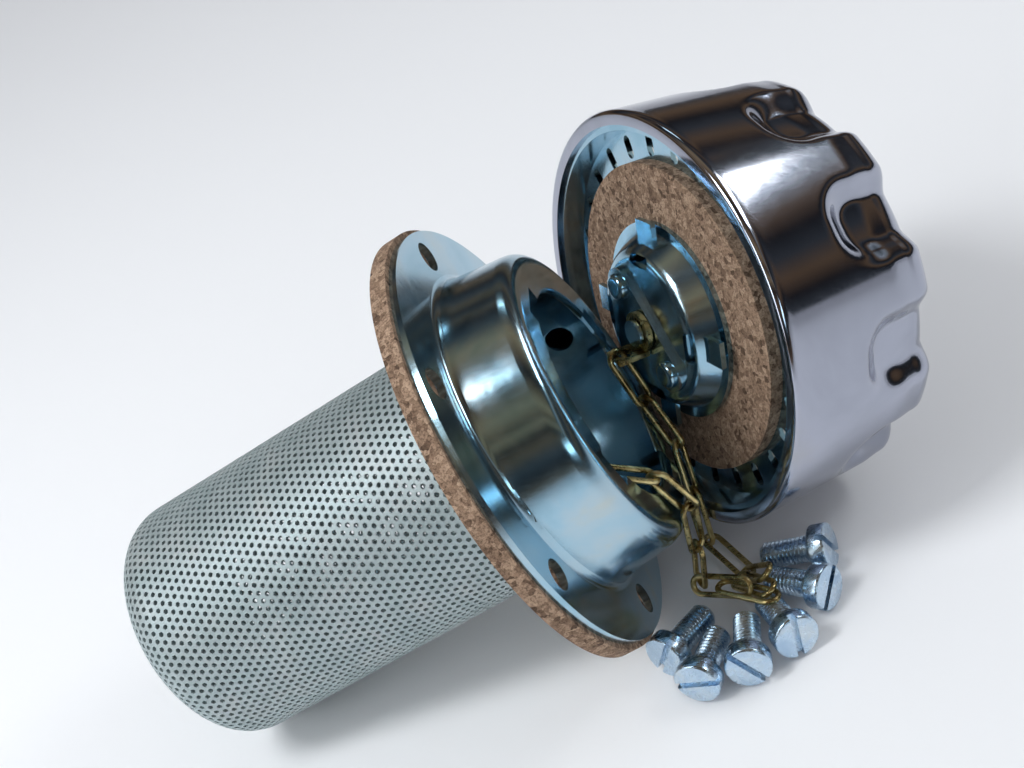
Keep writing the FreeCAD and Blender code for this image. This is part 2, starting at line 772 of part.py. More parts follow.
def link_form():
    """One chain link along X, its wire bent into a long loop in the XY plane."""
    bend = "(dim.link_width - dim.wire) / 2"
    straight = "(dim.link_length - dim.link_width)"
    parts = []
    for end in (1, -1):
        arch = doc.addObject("Part::Torus", "link_arch")
        bind(arch, Radius1=bend, Radius2="dim.wire / 2")
        arch.Angle3 = 180
        arch.Placement.Rotation = FreeCAD.Rotation(Z, -90 * end)
        arch.setExpression(".Placement.Base.x", "%d * %s / 2" % (end, straight))
        side = doc.addObject("Part::Cylinder", "link_side")
        bind(side, Radius="dim.wire / 2", Height=straight)
        side.Placement.Rotation = FreeCAD.Rotation(V(0, 1, 0), 90)
        side.setExpression(".Placement.Base.x", "-%s / 2" % straight)
        side.setExpression(".Placement.Base.y", "%d * %s" % (end, bend))
        parts += [arch, side]
    doc.recompute()
    return fuse("link_form", parts)


def chain():
    """Loose chain from the eyelet down to the table and up into the mouth of the neck."""
    form = link_form()
    for number, (x, y, z, bearing, rise, roll) in enumerate(CHAIN, 1):
        turn = FreeCAD.Rotation(Z, bearing)
        turn = turn.multiply(FreeCAD.Rotation(V(0, 1, 0), -rise))
        turn = turn.multiply(FreeCAD.Rotation(V(1, 0, 0), roll))
        laid("chain_link_%02d" % number, form.Shape, [FreeCAD.Placement(V(x, y, z), turn)])


def screw_form():
    """Slotted cheese-head screw along +X from the face of its head."""
    body = doc.addObject("PartDesign::Body", "screw_form")
    axis = "0 * dim.head_r"
    tip = "dim.head_height + dim.screw_length"
    form = revolve(body, outline(body, "screw_profile", [
        (axis, axis),
        ("dim.head_r", axis),
        ("dim.head_r", "dim.head_height"),
        ("dim.screw_r", "dim.head_height"),
        ("dim.screw_r", tip + " - dim.tip_chamfer"),
        ("dim.screw_r - dim.tip_chamfer", tip),
        (axis, tip),
    ]), "screw_turned")
    rounded(body, form, "screw_head_round", "dim.head_round", [("dim.head_r", axis)])
    sketch = new_sketch(body, "screw_slot", "XY_Plane")
    rectangle(sketch, "-2 * dim.head_r", "2 * dim.head_r", "dim.slot_cut / 2")
    pocket(body, sketch, "screw_slot_cut", "dim.slot_depth", upwards=True)
    return body


def flange_screws():
    """Six screws lying on the table, each on the edge of its head and on its tip."""
    form = screw_form()
    drop = math.degrees(math.atan(size("(dim.head_r - dim.screw_r) / dim.screw_length")))
    lift = size("dim.head_r") / math.cos(math.radians(drop))
    lift += size("dim.head_height") * math.tan(math.radians(drop))
    places = []
    for x, y, bearing in SCREWS:
        turn = FreeCAD.Rotation(Z, bearing).multiply(FreeCAD.Rotation(V(0, 1, 0), 90 + drop))
        places.append(FreeCAD.Placement(V(x, y, lift), turn))
    return laid("flange_screws", form.Shape, places)


def neck_frame():
    """Where the neck lies: on the edge of its gasket and on the corner of the strainer."""
    edge_r = size("dim.gasket_r")
    edge_z = size("dim.neck_wall + dim.gasket_thickness")
    ball = size("dim.basket_corner")
    ball_r = size("dim.basket_r") - ball
    ball_z = size("dim.basket_length") - ball
    span = math.hypot(edge_r - ball_r, ball_z - edge_z)
    pitch = math.acos(ball / span) - math.atan2(ball_z - edge_z, edge_r - ball_r)
    height = edge_r * math.cos(pitch) + edge_z * math.sin(pitch)
    return FreeCAD.Placement(V(0, 0, height), FreeCAD.Rotation(V(0, 1, 0), 90 - math.degrees(pitch)))


def cap_frame():
    """Where the cap lies: on the rounded edge of its closed top, leaning on the neck."""
    pitch = math.radians(size("dim.cap_pitch"))
    edge = size("dim.cap_round")
    taper = math.atan(size("(dim.skirt_r - dim.cap_top_r) / (dim.cap_height - dim.skirt_height)"))
    edge_r = size("dim.cap_top_r") + edge * math.tan(taper) - edge / math.cos(taper)
    edge_z = size("dim.cap_height") - edge
    height = edge + edge_r * math.cos(pitch) - edge_z * math.sin(pitch)
    turn = FreeCAD.Rotation(Z, size("dim.cap_azimuth")).multiply(
        FreeCAD.Rotation(V(0, 1, 0), 90 - size("dim.cap_pitch")))
    return FreeCAD.Placement(V(size("dim.cap_x"), size("dim.cap_y"), height), turn)


def lay(things, frame):
    for thing in things:
        thing.Placement = frame.multiply(thing.Placement)


def centre_of_set():
    """Point of the table under the middle of the box round every piece."""
    box = FreeCAD.BoundBox()
    for thing in pieces:
        box.add(thing.Shape.optimalBoundingBox(False, False))
    return V(box.Center.x, box.Center.y, 0)


neck_parts = [filler_neck(), throat_sleeve(), chain_anchor(), flange_gasket()]
neck_parts += [strainer_basket(), strainer_end_disc()]
cap_start = len(pieces)
cap_shell()
base_pan()
bayonet_boss()
chain_strap()
boss_rivets()
cap_gasket()
air_filter()
cap_parts = pieces[cap_start:]
pin, eyelet = swivel()
pin_seat = -size("dim.boss_height + dim.strap_wall + 2 * dim.swivel_play + dim.eyelet_wall")
lay([pin], FreeCAD.Placement(V(0, 0, pin_seat), FreeCAD.Rotation()))
lay([eyelet], FreeCAD.Placement(V(0, 0, pin_seat + size("dim.swivel_play")), FreeCAD.Rotation()))
lay(neck_parts, neck_frame())
lay(cap_parts + [pin, eyelet], cap_frame())
flange_screws()
chain()
doc.recompute()
to_origin = FreeCAD.Placement(centre_of_set() * -1, FreeCAD.Rotation())
lay(pieces, to_origin)
doc.recompute()

for thing in doc.Objects:
    if "Invalid" in thing.State or "Error" in thing.State:
        raise ValueError("%s failed: %s" % (thing.Name, thing.State))
for thing in pieces:
    if thing.Shape.isNull() or not thing.Shape.isValid():
        raise ValueError("%s is not a sound solid" % thing.Label)

os.makedirs("parts", exist_ok=True)
for thing in pieces:
    thing.Shape.exportStep("parts/%s.step" % thing.Label)
    print(thing.Label, len(thing.Shape.Solids), round(thing.Shape.Volume, 1))
for name, frame in (("neck", neck_frame()), ("cap", cap_frame())):
    frame = to_origin.multiply(frame)
    print(name, "frame at", frame.Base, "along", frame.Rotation.multVec(Z))
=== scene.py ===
import math
import bpy
from mathutils import Matrix, Vector


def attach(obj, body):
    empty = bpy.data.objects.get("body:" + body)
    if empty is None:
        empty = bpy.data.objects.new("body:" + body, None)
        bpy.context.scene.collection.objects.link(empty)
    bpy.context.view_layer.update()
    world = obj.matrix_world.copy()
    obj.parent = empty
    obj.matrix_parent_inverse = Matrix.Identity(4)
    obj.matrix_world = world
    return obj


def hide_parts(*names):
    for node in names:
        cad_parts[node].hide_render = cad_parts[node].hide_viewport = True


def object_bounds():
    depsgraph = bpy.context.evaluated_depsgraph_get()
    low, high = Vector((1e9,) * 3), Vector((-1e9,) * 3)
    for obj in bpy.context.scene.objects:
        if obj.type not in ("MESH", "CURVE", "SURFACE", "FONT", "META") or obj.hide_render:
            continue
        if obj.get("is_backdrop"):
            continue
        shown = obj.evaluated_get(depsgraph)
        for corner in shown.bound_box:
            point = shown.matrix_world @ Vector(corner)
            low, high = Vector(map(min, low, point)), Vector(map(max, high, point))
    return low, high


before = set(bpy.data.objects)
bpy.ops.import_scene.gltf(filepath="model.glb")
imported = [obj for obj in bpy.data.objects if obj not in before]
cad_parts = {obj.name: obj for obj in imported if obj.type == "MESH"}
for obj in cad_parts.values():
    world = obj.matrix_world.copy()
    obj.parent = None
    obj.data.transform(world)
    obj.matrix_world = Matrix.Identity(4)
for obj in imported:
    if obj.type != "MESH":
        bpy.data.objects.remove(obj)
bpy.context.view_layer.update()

# The camera stands where the photograph was taken from: in front of the set, a little
# to the right and looking steeply down, rolled clockwise.
camera_right = Vector((0.936, -0.079, -0.344))
camera_up = Vector((0.3166, 0.6165, 0.7209))
camera_back = Vector((0.1551, -0.7834, 0.6018))
camera_turn = Matrix((camera_right, camera_up, camera_back)).transposed().to_euler()
bpy.ops.object.camera_add(location=(0.04547, -0.21565, 0.2119), rotation=camera_turn)
camera = bpy.context.object
camera.data.lens = 52.73
camera.data.sensor_width = 36
camera.data.clip_start = 0.01
bpy.context.scene.camera = camera
bpy.context.scene.view_settings.view_transform = "Standard"

# The floor is one plain sheet of pale paper, wide enough to run out of the picture on
# every side. It keeps the object's soft shadow.
bpy.ops.object.select_all(action="DESELECT")
bpy.ops.mesh.primitive_plane_add(size=40)
floor = bpy.context.object
floor.name = "floor"
floor_paper = bpy.data.materials.new("pale_paper")
floor_paper.use_nodes = True
floor_shader = floor_paper.node_tree.nodes["Principled BSDF"]
floor_shader.inputs["Base Color"].default_value = (0.93, 0.93, 0.935, 1)
floor_shader.inputs["Roughness"].default_value = 0.9
floor_shader.inputs["Specular IOR Level"].default_value = 0.1
floor.data.materials.append(floor_paper)
floor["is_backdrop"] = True

# A soft studio: a pale room, one lamp high at the left and one lower at each side. Dark,
# brown and grey cards stand beyond the picture, where only the polished metal shows them.
room_glow = 0.48
room_white = 1.0
room = bpy.data.worlds.new("pale_room")
room.use_nodes = True
room.node_tree.nodes["Background"].inputs["Color"].default_value = (0.93, 0.95, 1.0, 1)
room_seen = room.node_tree.nodes.new("ShaderNodeLightPath")
room_strength = room.node_tree.nodes["Background"].inputs["Strength"]
seen_by = room_seen.outputs["Is Camera Ray"]
for path in ("Is Glossy Ray", "Is Transmission Ray"):
    either = room.node_tree.nodes.new("ShaderNodeMath")
    either.operation = "MAXIMUM"
    room.node_tree.links.new(seen_by, either.inputs[0])
    room.node_tree.links.new(room_seen.outputs[path], either.inputs[1])
    seen_by = either.outputs["Value"]
room_level = room.node_tree.nodes.new("ShaderNodeMapRange")
room_level.inputs["To Min"].default_value = room_glow
room_level.inputs["To Max"].default_value = room_white
room.node_tree.links.new(seen_by, room_level.inputs["Value"])
room.node_tree.links.new(room_level.outputs["Result"], room_strength)
bpy.context.scene.world = room


def soft_lamp(name, place, target, width, height, power, colour):
    """Rectangular studio lamp that faces a target."""
    aim = (Vector(target) - Vector(place)).to_track_quat("-Z", "Y").to_euler()
    bpy.ops.object.light_add(type="AREA", location=place, rotation=aim)
    lamp = bpy.context.object
    lamp.name = name
    lamp.data.shape = "RECTANGLE"
    lamp.data.size = width
    lamp.data.size_y = height
    lamp.data.energy = power
    lamp.data.color = colour


soft_lamp("lamp_overhead", (-0.31, -0.14, 0.56), (0, 0, 0.03), 0.16, 0.22, 2.0, (0.94, 0.97, 1.0))
soft_lamp("lamp_left", (-0.55, -0.35, 0.30), (0, 0, 0.03), 0.20, 0.42, 0.8, (0.90, 0.96, 1.0))
soft_lamp("lamp_right", (0.52, 0.12, 0.48), (0.03, 0, 0.04), 0.34, 0.09, 0.9, (0.94, 0.98, 1.0))


def reflected_card(name, place, target, width, height, tones):
    """Card that shows in reflections alone; its tones run from the lower to the upper edge."""
    aim = (Vector(target) - Vector(place)).to_track_quat("Z", "Y").to_euler()
    bpy.ops.object.select_all(action="DESELECT")
    bpy.ops.mesh.primitive_plane_add(size=1, location=place, rotation=aim)
    card = bpy.context.object
    card.name = name
    card.scale = (width, height, 1)
    paint = bpy.data.materials.new(name + "_paint")
    paint.use_nodes = True
    nodes = paint.node_tree.nodes
    links = paint.node_tree.links
    shader = nodes["Principled BSDF"]
    shader.inputs["Base Color"].default_value = (0, 0, 0, 1)
    shader.inputs["Specular IOR Level"].default_value = 0
    shader.inputs["Emission Strength"].default_value = 1
    if len(tones) == 1:
        shader.inputs["Emission Color"].default_value = (*tones[0], 1)
    else:
        place_on_card = nodes.new("ShaderNodeTexCoord")
        axes = nodes.new("ShaderNodeSeparateXYZ")
        height_share = nodes.new("ShaderNodeMath")
        height_share.inputs[1].default_value = 0.5
        ramp = nodes.new("ShaderNodeValToRGB")
        while len(ramp.color_ramp.elements) < len(tones):
            ramp.color_ramp.elements.new(0.5)
        for number, (element, tone) in enumerate(zip(ramp.color_ramp.elements, tones)):
            element.position = number / (len(tones) - 1)
            element.color = (*tone, 1)
        links.new(place_on_card.outputs["Object"], axes.inputs["Vector"])
        links.new(axes.outputs["Y"], height_share.inputs[0])
        links.new(height_share.outputs["Value"], ramp.inputs["Fac"])
        links.new(ramp.outputs["Color"], shader.inputs["Emission Color"])
    card.data.materials.append(paint)
    card.visible_camera = False
    card.visible_diffuse = False
    card.visible_shadow = False
    card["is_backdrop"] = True


card_away = 0.95
card_width = 1.9
card_height = 0.90
card_middle = 0.50
card_target = (0, 0, card_middle)
black = (0.016, 0.017, 0.020)
slate = (0.050, 0.058, 0.066)
umber = (0.150, 0.095, 0.056)
olive = (0.300, 0.220, 0.130)
mist = (0.330, 0.380, 0.410)
reflected_card("card_overhead", (0, 0, card_away), (0, 0, 0), card_width, card_width,
               [umber, olive, umber, black, umber, olive, slate, black, umber])
reflected_card("card_left", (-card_away, 0, card_middle), card_target, card_width, card_height,
               [olive, umber, black, umber, olive, umber, slate, black])
reflected_card("card_right", (card_away, 0, card_middle), card_target, card_width, card_height,
               [slate, black, umber, slate, black, umber, mist, slate, black])
reflected_card("card_back", (0, card_away, card_middle), card_target, card_width, card_height,
               [slate, umber, black, slate, umber, black, slate])
reflected_card("card_front", (0, -card_away, card_middle), card_target, card_width, card_height,
               [umber, black, slate, umber, black, olive, black])
# Small bright cards give the plating its narrow gleams.
reflected_card("gleam_left", (-0.50, -0.40, 0.42), (0, 0, 0.05), 0.06, 0.34, [(3.2, 3.9, 4.2)])
reflected_card("gleam_back", (0.02, 0.45, 0.62), (0, 0, 0.05), 0.26, 0.06, [(2.4, 3.2, 3.5)])
reflected_card("gleam_front", (0.32, -0.62, 0.28), (0, 0, 0.05), 0.40, 0.08, [(2.4, 3.2, 3.6)])

# Filler neck: flange, collar and turned-in mouth pressed from one steel sheet. The zinc
# plating has a clear blue passivation that leaves faint straw-coloured patches. The sleeve
# pressed into its throat has the same finish.


def new_finish(name, metallic):
    """Material with a Principled shader and the object's own coordinates."""
    finish = bpy.data.materials.new(name)
    finish.use_nodes = True
    shader = finish.node_tree.nodes["Principled BSDF"]
    shader.inputs["Metallic"].default_value = metallic
    place = finish.node_tree.nodes.new("ShaderNodeTexCoord")
    return finish, shader, place.outputs["Object"]


def add_node(finish, kind, **values):
    """Node of a material or a group, with its sockets set by name."""
    tree = finish if isinstance(finish, bpy.types.NodeTree) else finish.node_tree
    node = tree.nodes.new(kind)
    for name, value in values.items():
        node.inputs[name.replace("_", " ")].default_value = value
    return node


def join(finish, start, end):
    """Link between two sockets of a material or a group."""
    tree = finish if isinstance(finish, bpy.types.NodeTree) else finish.node_tree
    tree.links.new(start, end)


def colour_steps(finish, factor, steps):
    """Colour ramp over a factor, given as pairs of position and colour."""
    ramp = add_node(finish, "ShaderNodeValToRGB")
    while len(ramp.color_ramp.elements) < len(steps):
        ramp.color_ramp.elements.new(0.5)
    for element, (position, colour) in zip(ramp.color_ramp.elements, steps):
        element.position = position
        element.color = (*colour, 1)
    join(finish, factor, ramp.inputs["Fac"])
    return ramp.outputs["Color"]


def give(finish, *names):
    """Puts a finish on CAD nodes."""
    for name in names:
        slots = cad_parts[name].data.materials
        slots.clear()
        slots.append(finish)


# Marks of handling that every plated piece shows: rubbed patches and fine scratches.
rubbed = bpy.data.node_groups.new("rubbed_plating", "ShaderNodeTree")
rubbed.interface.new_socket("Place", in_out="INPUT", socket_type="NodeSocketVector")
rubbed.interface.new_socket("Patch Scale", in_out="INPUT", socket_type="NodeSocketFloat")
rubbed.interface.new_socket("Low Roughness", in_out="INPUT", socket_type="NodeSocketFloat")
rubbed.interface.new_socket("High Roughness", in_out="INPUT", socket_type="NodeSocketFloat")
rubbed.interface.new_socket("Ripple", in_out="INPUT", socket_type="NodeSocketFloat")
rubbed.interface.new_socket("Patches", in_out="OUTPUT", socket_type="NodeSocketFloat")
rubbed.interface.new_socket("Roughness", in_out="OUTPUT", socket_type="NodeSocketFloat")
rubbed.interface.new_socket("Normal", in_out="OUTPUT", socket_type="NodeSocketVector")
rubbed_in = rubbed.nodes.new("NodeGroupInput")
rubbed_out = rubbed.nodes.new("NodeGroupOutput")
patches = add_node(rubbed, "ShaderNodeTexNoise", Detail=4.0, Roughness=0.6, Distortion=0.6)
join(rubbed, rubbed_in.outputs["Place"], patches.inputs["Vector"])
join(rubbed, rubbed_in.outputs["Patch Scale"], patches.inputs["Scale"])
join(rubbed, patches.outputs["Fac"], rubbed_out.inputs["Patches"])
scratch_place = add_node(rubbed, "ShaderNodeMapping", Rotation=(0.5, 0.3, 0.8), Scale=(1, 14, 3))
join(rubbed, rubbed_in.outputs["Place"], scratch_place.inputs["Vector"])
scratches = add_node(rubbed, "ShaderNodeTexNoise", Scale=320.0, Detail=3.0, Roughness=0.7)
join(rubbed, scratch_place.outputs["Vector"], scratches.inputs["Vector"])
wear_sum = add_node(rubbed, "ShaderNodeMath")
wear_sum.operation = "MULTIPLY"
join(rubbed, patches.outputs["Fac"], wear_sum.inputs[0])
join(rubbed, scratches.outputs["Fac"], wear_sum.inputs[1])
wear_range = add_node(rubbed, "ShaderNodeMapRange")
wear_range.inputs["From Min"].default_value = 0.12
wear_range.inputs["From Max"].default_value = 0.42
join(rubbed, wear_sum.outputs["Value"], wear_range.inputs["Value"])
join(rubbed, rubbed_in.outputs["Low Roughness"], wear_range.inputs["To Min"])
join(rubbed, rubbed_in.outputs["High Roughness"], wear_range.inputs["To Max"])
join(rubbed, wear_range.outputs["Result"], rubbed_out.inputs["Roughness"])
ripple = add_node(rubbed, "ShaderNodeBump", Distance=0.0002)
join(rubbed, rubbed_in.outputs["Ripple"], ripple.inputs["Strength"])
join(rubbed, patches.outputs["Fac"], ripple.inputs["Height"])
join(rubbed, ripple.outputs["Normal"], rubbed_out.inputs["Normal"])


def rub(finish, shader, place, scale, low, high, ripple_depth):
    """Adds the marks of handling to a finish and returns their patches."""
    marks = add_node(finish, "ShaderNodeGroup")
    marks.node_tree = rubbed
    marks.inputs["Patch Scale"].default_value = scale
    marks.inputs["Low Roughness"].default_value = low
    marks.inputs["High Roughness"].default_value = high
    marks.inputs["Ripple"].default_value = ripple_depth
    join(finish, place, marks.inputs["Place"])
    join(finish, marks.outputs["Roughness"], shader.inputs["Roughness"])
    join(finish, marks.outputs["Normal"], shader.inputs["Normal"])
    return marks.outputs["Patches"]


zinc, zinc_shader, zinc_place = new_finish("blue_zinc", 1.0)
zinc_patches = rub(zinc, zinc_shader, zinc_place, 55.0, 0.13, 0.23, 0.25)
zinc_colour = colour_steps(zinc, zinc_patches, [
    (0.28, (0.24, 0.44, 0.56)),
    (0.46, (0.36, 0.55, 0.67)),
    (0.60, (0.44, 0.58, 0.66)),
    (0.76, (0.56, 0.56, 0.48)),
])
join(zinc, zinc_colour, zinc_shader.inputs["Base Color"])
give(zinc, "filler_neck", "throat_sleeve")

# Cork rings: pressed brown granules with darker binder between them, one under the
# flange and one in the cap.
cork, cork_shader, cork_place = new_finish("pressed_cork", 0.0)
cork_shader.inputs["Roughness"].default_value = 0.85
cork_shader.inputs["Specular IOR Level"].default_value = 0.25
granule_wobble = add_node(cork, "ShaderNodeTexNoise", Scale=700.0, Detail=2.0)
join(cork, cork_place, granule_wobble.inputs["Vector"])
# A Mix node keeps its vector sockets at 4 and 5 and its colour sockets at 6 and 7.
granule_place = add_node(cork, "ShaderNodeMix")
granule_place.data_type = "VECTOR"
granule_place.inputs["Factor"].default_value = 0.0009
join(cork, cork_place, granule_place.inputs[4])
join(cork, granule_wobble.outputs["Color"], granule_place.inputs[5])
granules = add_node(cork, "ShaderNodeTexVoronoi", Scale=1050.0, Randomness=1.0)
join(cork, granule_place.outputs[1], granules.inputs["Vector"])
granule_shade = add_node(cork, "ShaderNodeSeparateColor")
join(cork, granules.outputs["Color"], granule_shade.inputs["Color"])
cork_colour = colour_steps(cork, granule_shade.outputs["Red"], [
    (0.0, (0.12, 0.072, 0.046)),
    (0.15, (0.25, 0.158, 0.102)),
    (0.6, (0.36, 0.237, 0.158)),
    (1.0, (0.50, 0.345, 0.235)),
])
crumbs = add_node(cork, "ShaderNodeTexNoise", Scale=2400.0, Detail=3.0, Roughness=0.75)
join(cork, cork_place, crumbs.inputs["Vector"])
crumb_shade = colour_steps(cork, crumbs.outputs["Fac"], [
    (0.33, (0.24, 0.22, 0.21)),
    (0.56, (1, 1, 1)),
])
cork_mix = add_node(cork, "ShaderNodeMix")
cork_mix.data_type = "RGBA"
cork_mix.blend_type = "MULTIPLY"
cork_mix.inputs["Factor"].default_value = 0.85
join(cork, cork_colour, cork_mix.inputs[6])
join(cork, crumb_shade, cork_mix.inputs[7])
join(cork, cork_mix.outputs[2], cork_shader.inputs["Base Color"])
cork_relief = add_node(cork, "ShaderNodeBump", Strength=0.6, Distance=0.0003)
join(cork, crumbs.outputs["Fac"], cork_relief.inputs["Height"])
join(cork, cork_relief.outputs["Normal"], cork_shader.inputs["Normal"])
give(cork, "flange_gasket", "cap_gasket")

# Strainer basket: galvanised perforated sheet with staggered holes, rolled into a tube,
# drawn in to a rounded end and held by a plain rim under the flange. A plain disc is
# welded inside its end.
basket_r = 0.024
basket_corner = 0.0075
basket_length = 0.0815
basket_wall = 0.0008
holes_round = 94
hole_pitch = 2 * math.pi * basket_r / holes_round
hole_row = hole_pitch * math.sqrt(3) / 2
hole_rim = 0.00037
end_columns = 22
end_rows = 26
end_margin = 0.0003
end_inset = 0.00003
seam_gap = 0.00004
neck_base = Vector((0.0053736, -0.0098545, 0.0422961))
neck_axis = Vector((0.96705, 0, 0.25459)).normalized()
neck_down = Vector((0.25459, 0, -0.96705)).normalized()
neck_turn = Matrix((neck_down, Vector((0, 1, 0)), neck_axis)).transposed().to_4x4()
neck_place = Matrix.Translation(neck_base) @ neck_turn

galvanised, galvanised_shader, galvanised_place = new_finish("galvanised_sheet", 0.5)
galvanised_patches = rub(galvanised, galvanised_shader, galvanised_place, 130.0, 0.50, 0.62, 0.15)
galvanised_colour = colour_steps(galvanised, galvanised_patches, [
    (0.30, (0.36, 0.44, 0.45)),
    (0.55, (0.42, 0.49, 0.50)),
    (0.75, (0.47, 0.51, 0.51)),
])
join(galvanised, galvanised_colour, galvanised_shader.inputs["Base Color"])
give(galvanised, "strainer_end_disc")


def perforated_sheet(name, columns, rows):
    """Flat staggered sheet of six-sided holes, columns along X and rows along Y."""
    bpy.ops.object.select_all(action="DESELECT")
    cell_r = hole_pitch / math.sqrt(3)
    bpy.ops.mesh.primitive_circle_add(vertices=6, radius=cell_r, fill_type="NGON")
    sheet = bpy.context.object
    sheet.name = name
    bpy.ops.object.mode_set(mode="EDIT")
    bpy.ops.mesh.inset(thickness=hole_rim)
    bpy.ops.mesh.delete(type="FACE")
    bpy.ops.mesh.select_all(action="SELECT")
    bpy.ops.mesh.duplicate_move(TRANSFORM_OT_translate={"value": (hole_pitch / 2, hole_row, 0)})
    bpy.ops.object.mode_set(mode="OBJECT")
    for count, step in ((columns, (hole_pitch, 0, 0)), (rows // 2, (0, 2 * hole_row, 0))):
        repeat = sheet.modifiers.new("repeat", "ARRAY")
        repeat.count = count
        repeat.use_relative_offset = False
        repeat.use_constant_offset = True
        repeat.constant_offset_displace = step
        bpy.ops.object.modifier_apply(modifier=repeat.name)
    return sheet


def thickened(piece, wall, middle):
    """Merges the seams, turns the faces away from a middle and gives the sheet its wall."""
    bpy.context.view_layer.objects.active = piece
    bpy.ops.object.mode_set(mode="EDIT")
    bpy.ops.mesh.select_all(action="SELECT")
    bpy.ops.mesh.remove_doubles(threshold=seam_gap)
    bpy.ops.mesh.normals_make_consistent(inside=False)
    bpy.ops.object.mode_set(mode="OBJECT")
    outward = sum(face.normal.dot(face.center - middle) * face.area for face in piece.data.polygons)
    if outward < 0:
        bpy.ops.object.mode_set(mode="EDIT")
        bpy.ops.mesh.flip_normals()
        bpy.ops.object.mode_set(mode="OBJECT")
    solid = piece.modifiers.new("wall", "SOLIDIFY")
    solid.thickness = wall
    solid.offset = -1
    bpy.ops.object.modifier_apply(modifier=solid.name)


tube_top = -0.0030
tube_end = basket_corner - basket_length
tube_run = tube_top - tube_end
corner_run = basket_corner * math.pi / 2
row_count = 2 * int((tube_run + corner_run) / (2 * hole_row))
row_stretch = (tube_run + corner_run) / ((row_count + 1 / 3) * hole_row)
basket = perforated_sheet("strainer_basket_sheet", holes_round, row_count)
for point in basket.data.vertices:
    turn = point.co.x / basket_r
    run = (point.co.y + hole_row / 3) * row_stretch
    bend = max(0.0, min(run - tube_run, corner_run)) / basket_corner
    reach = basket_r - basket_corner * (1 - math.cos(bend))
    drop = min(run, tube_run) + basket_corner * math.sin(bend)
    point.co = (reach * math.cos(turn), reach * math.sin(turn), tube_top - drop)
basket.data.transform(neck_place)
basket_middle = neck_place @ Vector((0, 0, -basket_length / 2))
thickened(basket, basket_wall, basket_middle)
basket.data.materials.append(galvanised)
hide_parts("strainer_basket")
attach(basket, "neck")

end_sheet = perforated_sheet("strainer_basket_end", end_columns, end_rows)
end_middle = Vector(((end_columns - 1) / 2 * hole_pitch, (end_rows - 1) / 2 * hole_row, 0))
bpy.ops.object.mode_set(mode="EDIT")
bpy.ops.mesh.select_all(action="DESELECT")
bpy.ops.object.mode_set(mode="OBJECT")
for face in end_sheet.data.polygons:
    face.select = (face.center - end_middle).length > basket_r - basket_corner - end_margin
bpy.ops.object.mode_set(mode="EDIT")
bpy.ops.mesh.delete(type="FACE")
bpy.ops.object.mode_set(mode="OBJECT")
end_drop = Matrix.Translation((0, 0, end_inset - basket_length))
end_sheet.data.transform(end_drop @ Matrix.Translation(-end_middle))
end_sheet.data.transform(neck_place)
thickened(end_sheet, basket_wall, basket_middle)
end_sheet.data.materials.append(galvanised)
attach(end_sheet, "neck")


def turned(name, sides, profile):
    """Turned sheet through a profile of radii and heights, ring after ring."""
    bpy.ops.object.select_all(action="DESELECT")
    bpy.ops.mesh.primitive_circle_add(vertices=sides, radius=profile[0][0], location=(0, 0, 0))
    sheet = bpy.context.object
    sheet.name = name
    for point in sheet.data.vertices:
        point.co.z = profile[0][1]
    for reach, height in profile[1:]:
        bpy.ops.object.mode_set(mode="EDIT")
        bpy.ops.mesh.extrude_region_move()
        bpy.ops.object.mode_set(mode="OBJECT")
        for point in sheet.data.vertices:
            if point.select:
                around = Vector((point.co.x, point.co.y, 0)).normalized() * reach
                point.co = (around.x, around.y, height)
    return sheet


band_sides = 120
seam_wall = 0.0002
in_the_throat = neck_place @ Vector((0, 0, 0.01))
basket_rim = turned("strainer_rim", band_sides, [
    (0.0330, -0.0023),
    (0.0256, -0.0023),
    (0.0249, -0.0024),
    (0.0244, -0.0028),
    (0.02410, -0.0033),
    (0.02405, -0.0047),
])
end_seam = turned("strainer_end_seam", band_sides, [
    (0.0178, -0.08137),
    (0.0172, -0.08147),
    (0.0165, -0.0815),
    (0.0152, -0.0815),
    (0.0149, -0.0813),
])
for band, wall in ((basket_rim, basket_wall), (end_seam, seam_wall)):
    band.data.transform(neck_place)
    thickened(band, wall, in_the_throat)
    bpy.ops.object.shade_smooth_by_angle(angle=math.radians(40))
    band.data.materials.append(galvanised)
    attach(band, "neck")

# Cap shell: deep-drawn steel cap with ten grip scoops pressed into its skirt and a hem
# turned in round its rim, polished and bright chromed.
chrome, chrome_shader, chrome_place = new_finish("bright_chrome", 1.0)
chrome_patches = rub(chrome, chrome_shader, chrome_place, 38.0, 0.07, 0.16, 0.18)
chrome_colour = colour_steps(chrome, chrome_patches, [
    (0.30, (0.35, 0.37, 0.44)),
    (0.55, (0.41, 0.43, 0.51)),
    (0.80, (0.42, 0.42, 0.44)),
])
join(chrome, chrome_colour, chrome_shader.inputs["Base Color"])

rim_r = 0.040
skirt_r = 0.0384
skirt_height = 0.025
cap_top_r = 0.0368
cap_height = 0.0335
cap_round = 0.005
hem_round = 0.0009
hem_inner_r = 0.0374
shell_wall = 0.0008
scoop_count = 10
scoop_first = math.radians(13.8)
scoop_half = 0.0086
scoop_start = 0.0152
scoop_corner = 0.0078
scoop_side = 0.0050
scoop_depth = 0.0030
press_start_r = 0.0245
press_run = 0.0065
shell_sides = 400
hem_steps = 4
skirt_rings = 33
skirt_ring = 0.00082
round_steps = 12
cap_base = Vector((0.0318736, 0.0057455, 0.0441635))
cap_axis = Vector((0.86578, 0.42040, -0.27144)).normalized()
cap_down = Vector((-0.2442, -0.1186, -0.9625)).normalized()
cap_turn = Matrix((cap_down, cap_axis.cross(cap_down), cap_axis)).transposed().to_4x4()
cap_place = Matrix.Translation(cap_base) @ cap_turn

